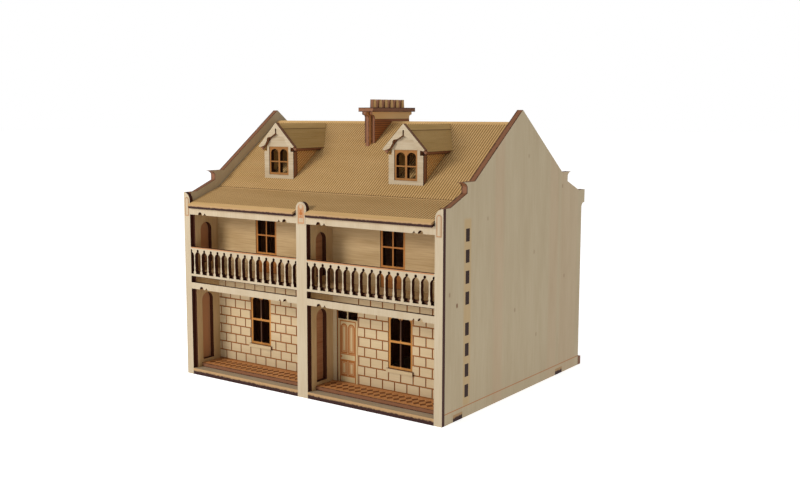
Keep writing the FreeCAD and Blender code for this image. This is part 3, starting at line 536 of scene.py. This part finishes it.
def corrugated(name, node, half, foot, head, back_foot, back_head, bands, notches=()):
    """A sloping sheet: foot and head are (y, z) of its upper face, and back_foot and back_head
    the same of its underside.  bands are (share of the slope, strength of the wave)."""
    x = lines(-half, half, [e for n in notches for e in n[:2]], PITCH / STEPS)
    share = np.array([b[0] for b in bands])
    strength = np.array([b[1] for b in bands])
    wave = (0.5 - 0.5 * np.cos(2 * np.pi * x / PITCH)) ** WAVE_POWER
    deep = strength[:, None] * wave[None, :]
    foot, head, back_foot, back_head = (np.array(p) for p in (foot, head, back_foot, back_head))
    up = (head - foot) / np.linalg.norm(head - foot)
    normal = np.array([-up[1], up[0]])
    normal = normal * np.sign(normal[1])
    top = foot + share[:, None] * (head - foot)
    under = back_foot + share[:, None] * (back_head - back_foot)
    front = np.zeros((len(share), len(x), 3))
    front[..., 0] = x
    front[..., 1:] = top[:, None] - GROOVE * deep[..., None] * normal
    back = np.zeros_like(front)
    back[..., 0] = x
    back[..., 1:] = under[:, None]
    keep = np.ones((len(share) - 1, len(x) - 1), bool)
    middle = (x[1:] + x[:-1]) / 2
    for lo, hi, until in notches:
        keep[np.ix_(share[1:] <= until + 1e-6, (middle > lo) & (middle < hi))] = False
    mesh = shell(name, front, back, keep, WAVE_BURN * deep)
    axis = (0, *normal.tolist())
    along = float(((top[0] + under[0]) / 2) @ normal)
    thick = float((top[0] - under[0]) @ normal)
    wood = laser_ply("birch plywood, engraved as corrugated iron, " + node.replace("_", " "),
                     *TONES["roof"], axis, along, thick, "X", figure=0.6, scorch=OLIVE,
                     heart=PALE_EDGE, top_lit=True)
    return mesh, wood


def slope_ends(node, pitch, rising):
    """Foot and head of a low roof's two faces, from the node's box and the pitch in degrees."""
    lo, hi = span(node)
    sink = THIN * math.sin(math.radians(pitch))
    drop = THIN * math.cos(math.radians(pitch))
    front, rear = (lo[1], hi[1] - sink) if rising else (hi[1], lo[1] + sink)
    rise = abs(rear - front) * math.tan(math.radians(pitch))
    inward = sink if rising else -sink
    foot, head = (front, hi[2] - rise), (rear, hi[2])
    return foot, head, (front + inward, foot[1] - drop), (rear + inward, head[1] - drop)


MAIN_PITCH = 36.0
LOW_PITCH = 17.9
POST_NOTCH = 3.5
SIDE_NOTCH = 1.5
PLAIN_BAND = 1.7
low_half = span("verandah_roof")[1][0]
foot, head, back_foot, back_head = slope_ends("verandah_roof", LOW_PITCH, True)
run = head[0] - foot[0]
notch_end = (screen_back - foot[0]) / run
plain_end = (screen_y + PLAIN_BAND - foot[0]) / run
bands = [(0, 0), (plain_end - 0.012, 0), (plain_end, 1), (notch_end, 1),
         (0.972, 1), (0.975, 0), (0.985, 0), (0.99, 1.6), (1, 1.6)]
inner = low_half - SIDE_NOTCH
posts = ((-POST_NOTCH, POST_NOTCH), (inner, low_half), (-low_half, -inner))
notches = [(lo, hi, notch_end) for lo, hi in posts]
corners = (foot, head, back_foot, back_head)
mesh, wood = corrugated("verandah_roof_engraved", "verandah_roof", low_half, *corners, bands, notches)
place_piece("verandah_roof_engraved", mesh, wood, "house", "roof_ply", "verandah_roof")

corners = slope_ends("rear_lower_roof", LOW_PITCH, False)
bands = [(0, 0), (0.13, 0), (0.14, 1), (0.985, 1), (0.99, 1.4), (1, 1.4)]
mesh, wood = corrugated("rear_lower_roof_engraved", "rear_lower_roof", low_half, *corners, bands)
place_piece("rear_lower_roof_engraved", mesh, wood, "house", "roof_ply", "rear_lower_roof")

# %% [markdown]
# ## The lift-off roof
# The two main slopes meet in a mitre at the ridge, so their undersides are shorter than their
# tops. Nothing else changes: the same function takes four corners of the section.

# %% Main slopes
for node, rising in (("main_roof_front", True), ("main_roof_rear", False)):
    lo, hi = span(node)
    sink = PLY * math.sin(math.radians(MAIN_PITCH))
    tangent = math.tan(math.radians(MAIN_PITCH))
    ridge_y, eave_y = (hi[1], lo[1]) if rising else (lo[1], hi[1])
    inward = sink if rising else -sink
    slope_drop = PLY / math.cos(math.radians(MAIN_PITCH))
    length = abs(ridge_y - eave_y)
    foot = (eave_y, hi[2] - length * tangent)
    head = (ridge_y, hi[2])
    back_foot = (eave_y + inward, foot[1] - PLY * math.cos(math.radians(MAIN_PITCH)))
    back_head = (ridge_y, hi[2] - slope_drop)
    bands = [(0, 1.3), (0.008, 1.3), (0.012, 1), (0.965, 1), (0.972, 0), (0.976, 1.3), (0.98, 0), (1, 0)]
    mesh, wood = corrugated(node + "_engraved", node, hi[0], foot, head, back_foot, back_head, bands)
    place_piece(node + "_engraved", mesh, wood, "roof", "roof_ply", node)

# %% [markdown]
# ## Dormer roofs
# Each dormer has two small slopes that die into the main roof, so a slope is a rectangle with
# its far corner cut off. Rows of points run down the slope and get shorter as the main roof
# closes in, until the last one is a single point. The iron is engraved much finer here, under
# a plain ridge flashing that one engraved line sets off.

# %% Dormer slopes
FINE_PITCH = 0.66
FINE_GROOVE = 0.1
FLASHING = 2.6
ridge_y, ridge_z = span("main_roof_front")[1][1:]
main_tan = math.tan(math.radians(MAIN_PITCH))


def roof_meets(z):
    """Distance back at which the front slope's upper face reaches a height."""
    return ridge_y - (ridge_z - z) / main_tan


def dormer_roof(node):
    """One 45 degree slope: rows at a steady distance back, each from ridge to eave or to the
    place where the main roof cuts it off."""
    lo, hi = span(node)
    right_hand = ("outer" in node) == ("right" in node)
    top_x, way = (lo[0], 1) if right_hand else (hi[0], -1)
    eave = hi[0] - lo[0]
    inner_eave = eave - THIN * math.sqrt(0.5)
    under_z = hi[2] - THIN * math.sqrt(2)
    ends = np.array([roof_meets(hi[2]), roof_meets(hi[2] - eave)])
    under_ends = np.array([roof_meets(under_z), roof_meets(under_z - inner_eave)])
    y = lines(lo[1], ends[0], [ends[1], lo[1] + 0.15], FINE_PITCH / 6)
    down = np.minimum(eave, (hi[2] - ridge_z) + (ridge_y - y) * main_tan)
    under_y = np.interp(y, [lo[1], ends[1], ends[0]], [lo[1], under_ends[1], under_ends[0]])
    under_down = np.minimum(inner_eave, (under_z - ridge_z) + (ridge_y - under_y) * main_tan)
    stops = lines(0, eave, [FLASHING - 0.3, FLASHING - 0.1, FLASHING + 0.1, FLASHING + 0.3, eave - 0.4], 2.0)
    share = stops / eave
    wave = (0.5 - 0.5 * np.cos(2 * np.pi * (y - lo[1]) / FINE_PITCH)) * (y > lo[1] + 0.4)
    fall = np.minimum(stops[None, :], np.maximum(down, 0)[:, None])
    field = stops > FLASHING
    deep = wave[:, None] * field[None, :]
    crease = np.abs(stops - FLASHING) < 0.15
    turn = math.sqrt(0.5)
    front = np.stack([top_x + way * (fall - FINE_GROOVE * deep * turn), np.repeat(y[:, None], len(share), 1),
                      hi[2] - fall - FINE_GROOVE * deep * turn], -1)
    under = np.minimum(share[None, :] * inner_eave, np.maximum(under_down, 0)[:, None])
    back = np.stack([top_x + way * under, np.repeat(under_y[:, None], len(share), 1), under_z - under], -1)
    burn = np.where(crease, 0.5, 0.16 * deep + 0.08 * field)
    axis = (way * turn, 0, turn)
    centre = ((top_x * way * turn + hi[2] * turn) + (top_x * way * turn + under_z * turn)) / 2
    wood = laser_ply("birch plywood, finely engraved, " + node.replace("_", " "), *TONES["dull"],
                     axis, centre, THIN, "Y", scorch=OLIVE)
    return shell(node + "_engraved", front, back, None, burn), wood


def merge_points(mesh):
    """Joins points that a shrinking row has laid on each other."""
    work = bmesh.new()
    work.from_mesh(mesh)
    bmesh.ops.remove_doubles(work, verts=work.verts, dist=1e-7)
    bmesh.ops.dissolve_degenerate(work, edges=work.edges, dist=1e-7)
    work.to_mesh(mesh)
    work.free()


for node in [n for n in sorted(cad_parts) if n.startswith("dormer_roof")]:
    mesh, wood = dormer_roof(node)
    merge_points(mesh)
    place_piece(node + "_engraved", mesh, wood, "roof", "roof_ply", node)

# %% [markdown]
# ## Dormer cheeks
# The triangular cheeks are engraved with boards that follow the main slope. Rows parallel to
# that slope, each shorter than the one below, put every groove on a row of its own.

# %% Dormer cheeks
BOARD = 1.3
BOARD_GROOVE = 0.15


def dormer_cheek(node):
    """A triangle in rows parallel to the main slope: a row h above it starts at the front and
    ends where it meets the level top."""
    lo, hi = span(node)
    outward = 1 if lo[0] + hi[0] > 0 else -1
    outer_side = "outer" in node
    face_x, other_x = (hi[0], lo[0]) if (outward > 0) == outer_side else (lo[0], hi[0])
    base = ridge_z - (ridge_y - lo[1]) * main_tan
    tall = hi[2] - base
    rise = np.arange(0.5, 40) * BOARD
    height = lines(0, tall, np.concatenate([rise - 0.34, rise - 0.22, rise + 0.22, rise + 0.34]), 2.0)
    share = np.linspace(0, 1, 3)
    long = (tall - height) / main_tan
    y = lo[1] + share[None, :] * long[:, None]
    z = base + height[:, None] + (y - lo[1]) * main_tan
    groove = np.abs((height / BOARD) % 1 - 0.5) * BOARD < 0.25
    deep = np.repeat(groove[:, None], 3, 1) * 1.0
    into = np.sign(other_x - face_x)
    front = np.stack([face_x + into * BOARD_GROOVE * deep, y, z], -1)
    back = np.stack([np.full_like(y, other_x), y, z], -1)
    wood = laser_ply("birch plywood, engraved as boards, " + node.replace("_", " "), *TONES["dull"],
                     AXES["X"], (lo[0] + hi[0]) / 2, THIN, "Y")
    return shell(node + "_engraved", front, back, None, 0.6 * deep), wood


for node in [n for n in sorted(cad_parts) if n.startswith("dormer_cheek")]:
    mesh, wood = dormer_cheek(node)
    merge_points(mesh)
    place_piece(node + "_engraved", mesh, wood, "roof", "roof_ply", node)

# %% [markdown]
# ## Block walls
# The ground-floor walls imitate cut stone. The joints are grooves, so the grid gets a line at
# both lips and both feet of every groove, and the corners between are pushed in. Blocks in one
# course stand over the joints of the next, so each point asks which course it is in before it
# looks for a joint. Beside the door the wall is plain, as on the real one.

# %% Block walls
COURSE = 4.45
FIRST_COURSE = 5.2
BLOCK = 6.67
JOINT = 38.7
JOINT_ODD = 35.35
LIP = 0.32
FLOOR_OF_GROOVE = 0.2
GROOVE_DEEP = 0.25
door_lo, door_hi = span("front_door_right")
window_lo, window_hi = span("ground_window_right")
side_lo, side_hi = span("side_wall_right")
TABS_MIDDLE = 24.7
TAB_PITCH = 8.9
TAB = 5.5
PLAY = 0.05


def groove_lines(stops):
    """The four grid lines of each groove: its two lips and the two edges of its floor."""
    offsets = np.array([-LIP, -FLOOR_OF_GROOVE, FLOOR_OF_GROOVE, LIP])
    return (np.asarray(stops)[:, None] + offsets).ravel()


def upright(side, x, z, y, deep, thick):
    """Front and back grids of a sheet that stands across the model, engraved from the front."""
    u, v = np.meshgrid(x, z)
    front = np.stack([side * u, y + deep, v], -1)
    back = np.stack([side * u, np.full_like(u, y + thick), v], -1)
    return front, back


def block_wall(side, node):
    courses = FIRST_COURSE + COURSE * np.arange(-1, 11)
    ladder = np.arange(-8, 8) * BLOCK
    joints = np.concatenate([JOINT + ladder, JOINT_ODD + ladder])
    door_edge = door_hi[0] + PLAY
    window = (window_lo[0] - PLAY, window_hi[0] + PLAY, window_lo[2] - PLAY, window_hi[2] + PLAY)
    tab_z = TABS_MIDDLE + (np.arange(4) - 1.5) * TAB_PITCH
    breaks = [door_lo[0] - PLAY, door_edge, window[0], window[1], side_lo[0]]
    x = lines(wall_lo[0], side_hi[0], [*groove_lines(joints), *breaks], 9.0)
    levels = [door_hi[2] + PLAY, window[2], window[3], *(tab_z - TAB / 2), *(tab_z + TAB / 2)]
    z = lines(wall_lo[2], wall_hi[2], [*groove_lines(courses), *levels], 9.0)
    u, v = np.meshgrid(x, z)
    course = np.floor((v - FIRST_COURSE) / COURSE)
    phase = np.where(course % 2 == 0, JOINT, JOINT_ODD)
    to_joint = np.abs((u - phase + BLOCK / 2) % BLOCK - BLOCK / 2)
    to_course = np.abs((v - FIRST_COURSE + COURSE / 2) % COURSE - COURSE / 2)
    nearest = np.minimum(to_joint, to_course)
    deep = (nearest < FLOOR_OF_GROOVE + 0.01) * (u > door_edge + 0.01) * (u < side_lo[0] + 0.01) * 1.0
    front, back = upright(side, x, z, wall_lo[1], GROOVE_DEEP * deep, PLY)
    mx, mz = np.meshgrid((x[1:] + x[:-1]) / 2, (z[1:] + z[:-1]) / 2)
    keep = ~((mx > door_lo[0] - PLAY) & (mx < door_edge) & (mz < door_hi[2] + PLAY))
    keep &= ~((mx > window[0]) & (mx < window[1]) & (mz > window[2]) & (mz < window[3]))
    in_tab = (np.abs(mz[..., None] - tab_z) < TAB / 2).any(-1)
    keep &= (mx < side_lo[0]) | in_tab
    wood = laser_ply("birch plywood, engraved as stone blocks, " + node.replace("_", " "),
                     *TONES["block"], AXES["Y"], wall_lo[1] + PLY / 2, PLY, "X", figure=0.5,
                     heart=DARK_HEART)
    return shell(node + "_blocks", front, back, keep, 0.7 * deep), wood


for side, hand in ((1, "right"), (-1, "left")):
    node = "front_wall_lower_" + hand
    mesh, wood = block_wall(side, node)
    place_piece(node + "_blocks", mesh, wood, "house", "wall_ply", node)

# %% [markdown]
# ## Panelled doors
# A door leaf is engraved with two tall arched panels over two short ones, inside a frame that
# the laser only outlined. Here the shapes are curved, so the grid is fine and even, and each
# panel is a distance: how far a point is inside a round-headed rectangle. An engraved line is
# where that distance is small, and the panel's field is where it is large.

# %% Door leaves
FINE_GRID = 0.12
LINE_HALF = 0.3
LINE_DEEP = 0.12
LEAF_HALF = 4.4
JAMB_LINE = 5.85
PANE_HALF = 5.65
BAR_HALF = 0.35
FANLIGHT = (34.6, 38.2)
LEAF_LINE = (1.9, 0.9)
PANEL_SIDE = 0.7
PANEL_MIDDLE = 0.5
TALL_PANEL = (18.9, 32.2)
SHORT_PANEL = (8.4, 14.8)
MOULDING = 0.75
RAIL_LINES = (15.4, 18.2, 7.9)
KNOB_Z = 16.9
KNOB_IN = 0.55
KNOB_RADIUS = 0.35


def round_headed(u, v, x0, x1, z0, z1):
    """Distance inside a rectangle with a half-round head: the nearest of its three straight
    sides, and above the spring the radius less the distance to the head's centre."""
    radius = (x1 - x0) / 2
    centre = (x0 + x1) / 2
    straight = np.minimum(np.minimum(u - x0, x1 - u), v - z0)
    head = radius - np.hypot(u - centre, v - (z1 - radius))
    return np.where(v > z1 - radius, np.minimum(head, v - z0), straight)


def square_headed(u, v, x0, x1, z0, z1):
    """Distance inside a rectangle: the nearest of its four sides."""
    return np.minimum(np.minimum(u - x0, x1 - u), np.minimum(v - z0, z1 - v))


def soft(distance, half):
    """1 where a distance is nought, falling to 0 at half."""
    return np.clip(2 - 2 * np.abs(distance) / half, 0, 1)


def panelled_door(side, node):
    lo, hi = door_lo, door_hi
    middle = (lo[0] + hi[0]) / 2
    pane = (middle - PANE_HALF, middle - BAR_HALF, middle + BAR_HALF, middle + PANE_HALF)
    glass_foot, glass_head = FANLIGHT
    x = lines(lo[0], hi[0], pane, FINE_GRID)
    z = lines(lo[2], hi[2], [glass_foot, glass_head], FINE_GRID * 1.5)
    u, v = np.meshgrid(x, z)
    left, right = middle - LEAF_HALF, middle + LEAF_HALF
    outline = square_headed(u, v, left, right, lo[2] + LEAF_LINE[0], glass_foot - LEAF_LINE[1])
    deep = soft(outline, LINE_HALF * 1.2)
    deep = np.maximum(deep, soft(np.abs(u - middle) - JAMB_LINE, LINE_HALF))
    field = np.zeros_like(u)
    for x0, x1 in ((left + PANEL_SIDE, middle - PANEL_MIDDLE), (middle + PANEL_MIDDLE, right - PANEL_SIDE)):
        for inside in (round_headed(u, v, x0, x1, *TALL_PANEL), square_headed(u, v, x0, x1, *SHORT_PANEL)):
            deep = np.maximum(deep, soft(inside, LINE_HALF * 1.5))
            deep = np.maximum(deep, 0.8 * soft(inside - MOULDING, LINE_HALF))
            field = np.maximum(field, inside > MOULDING)
    for level in RAIL_LINES:
        deep = np.maximum(deep, soft(v - level, LINE_HALF) * (np.abs(u - middle) < LEAF_HALF))
    knob = np.hypot(u - (left + KNOB_IN), v - KNOB_Z)
    deep = np.maximum(deep, soft(knob - KNOB_RADIUS, LINE_HALF))
    front, back = upright(side, x, z, lo[1], LINE_DEEP * deep, THIN)
    mx, mz = np.meshgrid((x[1:] + x[:-1]) / 2, (z[1:] + z[:-1]) / 2)
    glass = ((mx > pane[0]) & (mx < pane[1])) | ((mx > pane[2]) & (mx < pane[3]))
    keep = ~(glass & (mz > glass_foot) & (mz < glass_head))
    burn = np.maximum(0.7 * deep, 0.08 * field)
    wood = laser_ply("birch plywood, engraved as a panelled door, " + hand, *TONES["door"], AXES["Y"],
                     lo[1] + THIN / 2, THIN, "Z", heart=DARK_HEART)
    return shell(node + "_panelled", front, back, keep, burn), wood


for side, hand in ((1, "right"), (-1, "left")):
    node = "front_door_" + hand
    mesh, wood = panelled_door(side, node)
    place_piece(node + "_panelled", mesh, wood, "house", "front_ply", node)

# %% [markdown]
# ## French windows
# These are all straight lines, so the cheap grid comes back: a line at each edge of each pane,
# and grooves for the frame, the meeting stiles and the bottom panels. The frame is engraved all
# over, which makes it orange, and the bottom rail is left pale.

# %% French windows
STILE = 1.1
GLASS_FOOT = 61.5
CROSS_BAR = (69.45, 70.15)
FRAME_LINE = 0.7
PANEL_LINES = (60.4, 54.5)
PALE_RAIL = (60.65, 61.45)
french_lo, french_hi = span("french_window_right")


def french_window(side, node):
    lo, hi = french_lo, french_hi
    middle = (lo[0] + hi[0]) / 2
    panes_x = (lo[0] + STILE, middle - BAR_HALF, middle + BAR_HALF, hi[0] - STILE)
    rows = (GLASS_FOOT, *CROSS_BAR, hi[2] - STILE)
    grooves_x = [lo[0] + FRAME_LINE, middle, hi[0] - FRAME_LINE]
    x = lines(lo[0], hi[0], [*panes_x, *groove_lines(grooves_x)], 3.0)
    z = lines(lo[2], hi[2], [*rows, *groove_lines(PANEL_LINES), *PALE_RAIL], 4.0)
    u, v = np.meshgrid(x, z)
    deep = np.zeros_like(u)
    for stop in grooves_x:
        deep = np.maximum(deep, (np.abs(u - stop) < FLOOR_OF_GROOVE + 0.01) & (v < PANEL_LINES[0] + 0.1))
    between = (u > grooves_x[0]) & (u < grooves_x[2])
    for stop in PANEL_LINES:
        deep = np.maximum(deep, (np.abs(v - stop) < FLOOR_OF_GROOVE + 0.01) & between)
    front, back = upright(side, x, z, lo[1], LINE_DEEP * deep, THIN)
    mx, mz = np.meshgrid((x[1:] + x[:-1]) / 2, (z[1:] + z[:-1]) / 2)
    glass = ((mx > panes_x[0]) & (mx < panes_x[1])) | ((mx > panes_x[2]) & (mx < panes_x[3]))
    glass &= ((mz > rows[0]) & (mz < rows[1])) | ((mz > rows[2]) & (mz < rows[3]))
    pale = (v > 60.6) & (v < 61.5) & (u > panes_x[0]) & (u < panes_x[3])
    burn = np.where(pale, 0.0, np.maximum(0.35, 0.62 * deep))
    wood = laser_ply("birch plywood, engraved as a french window, " + hand, *TONES["frame"], AXES["Y"],
                     lo[1] + THIN / 2, THIN, "Z", heart=DARK_HEART)
    return shell(node + "_engraved", front, back, ~glass, burn), wood


for side, hand in ((1, "right"), (-1, "left")):
    node = "french_window_" + hand
    mesh, wood = french_window(side, node)
    place_piece(node + "_engraved", mesh, wood, "house", "front_ply", node)

# %% [markdown]
# ## Tiled verandah floors
# The floor plates are engraved with two rows of tiles set cornerwise, with a leaf in each,
# between border lines. Distances do this as well: a diamond is the sum of two distances, a leaf
# is a squashed circle, and the row is one motif repeated by a remainder.

# %% Tiled floors
TILE_GRID = 0.2
MOTIF = 3.5
BORDERS = (0.7, 1.3)
TILE_ROWS = (0.33, 0.67)


def tiled_floor(side, node):
    lo, hi = span("tile_plate_right")
    x = lines(lo[0], hi[0], [], TILE_GRID)
    y = lines(lo[1], hi[1], [], TILE_GRID)
    u, v = np.meshgrid(x, y)
    from_front = v - lo[1]
    from_back = hi[1] - v
    deep = np.zeros_like(u)
    for border in BORDERS:
        deep = np.maximum(deep, soft(from_front - border, 0.2))
        deep = np.maximum(deep, soft(from_back - border, 0.2))
    for band in TILE_ROWS:
        across = from_front - band * (hi[1] - lo[1])
        along = (u - lo[0] + MOTIF / 2) % MOTIF - MOTIF / 2
        diamond = np.abs(along) + 0.8 * np.abs(across)
        leaf = np.hypot(along - 0.4 * np.sign(along) * np.cos(across), across * 0.45)
        inside = np.abs(across) < MOTIF * 0.62
        deep = np.maximum(deep, soft(diamond - MOTIF * 0.42, 0.22) * inside)
        deep = np.maximum(deep, (leaf < 0.75) * 0.9)
        deep = np.maximum(deep, soft(np.abs(across) - MOTIF * 0.62, 0.18))
    front = np.stack([side * u, v, hi[2] - 0.15 * deep], -1)
    back = np.stack([side * u, v, np.full_like(u, lo[2])], -1)
    wood = laser_ply("birch plywood, engraved as floor tiles, " + hand, *TONES["tile"], AXES["Z"],
                     (lo[2] + hi[2]) / 2, hi[2] - lo[2], "X")
    return shell(node + "_engraved", front, back, None, 0.95 * deep), wood


for side, hand in ((1, "right"), (-1, "left")):
    node = "tile_plate_" + hand
    mesh, wood = tiled_floor(side, node)
    place_piece(node + "_engraved", mesh, wood, "house", "tile_ply", node)

# %% [markdown]
# ## Plaques on the posts
# The arched tops of the three posts carry small engraved plaques. The screen is one packed
# sheet, so each plaque is a film of wood a tenth of a millimetre proud of its post, with the
# engraving pushed back into it.

# %% Post plaques
PROUD = 0.12


def plaque(name, middle, half, foot, crown, motif):
    """A round-headed film on the screen's face: rows of points narrow towards the crown."""
    spring = crown - half
    turn = np.linspace(0.03, np.pi / 2 - 0.02, 24)
    z = np.concatenate([np.linspace(foot, spring, 60), spring + half * np.sin(turn)])
    wide = np.where(z > spring, np.sqrt(np.maximum(half ** 2 - (z - spring) ** 2, 1e-4)), half)
    share = np.linspace(-1, 1, 41)
    u = middle + wide[:, None] * share[None, :]
    v = np.repeat(z[:, None], len(share), 1)
    inside = round_headed(u, v, middle - half, middle + half, foot, crown)
    deep = motif(u - middle, v, inside)
    front = np.stack([u, screen_y - PROUD + 0.09 * deep, v], -1)
    back = np.stack([u, np.full_like(u, screen_y + 0.02), v], -1)
    wood = laser_ply("birch plywood, engraved plaque, " + name.replace("_", " "), *TONES["bright"],
                     AXES["Y"], screen_y, THIN, "Z")
    place_piece(name, shell(name, front, back, None, 0.66 * deep), wood, "house", "front_ply")


def centre_motif(u, v, inside):
    """An engraved ground inside a pale border, with a pale disc above and a pale foot below a
    darker twisted stem that has two pale eyes."""
    ground = 0.62 * np.clip((inside - 0.55) / 0.12, 0, 1)
    disc = np.hypot(u, v - 87.2) < 0.95
    foot = square_headed(u, v, -1.25, 1.25, 80.1, 82.0) > 0
    stem = (np.abs(u) < 0.6 + 0.35 * np.cos((v - 84.1) * 3.2)) & (np.abs(v - 84.1) < 1.6)
    eyes = np.hypot(np.abs(u) - 0.45, v - 83.0) < 0.3
    deep = np.where(stem & ~eyes, 1.0, ground)
    deep = np.where(disc | foot | eyes, 0.08, deep)
    return deep * (inside > 0.5)


def side_motif(u, v, inside):
    """One border line round a plain field."""
    return soft(inside - 0.35, 0.16)


SIDE_PLAQUE = (1.35, 78.6, 87.9)
SIDE_POST_HALF = 2.0
plaque("centre_post_plaque", 0.0, 2.4, 78.9, 88.9, centre_motif)
plaque("right_post_plaque", side_hi[0] - SIDE_POST_HALF, *SIDE_PLAQUE, side_motif)
plaque("left_post_plaque", SIDE_POST_HALF - side_hi[0], *SIDE_PLAQUE, side_motif)
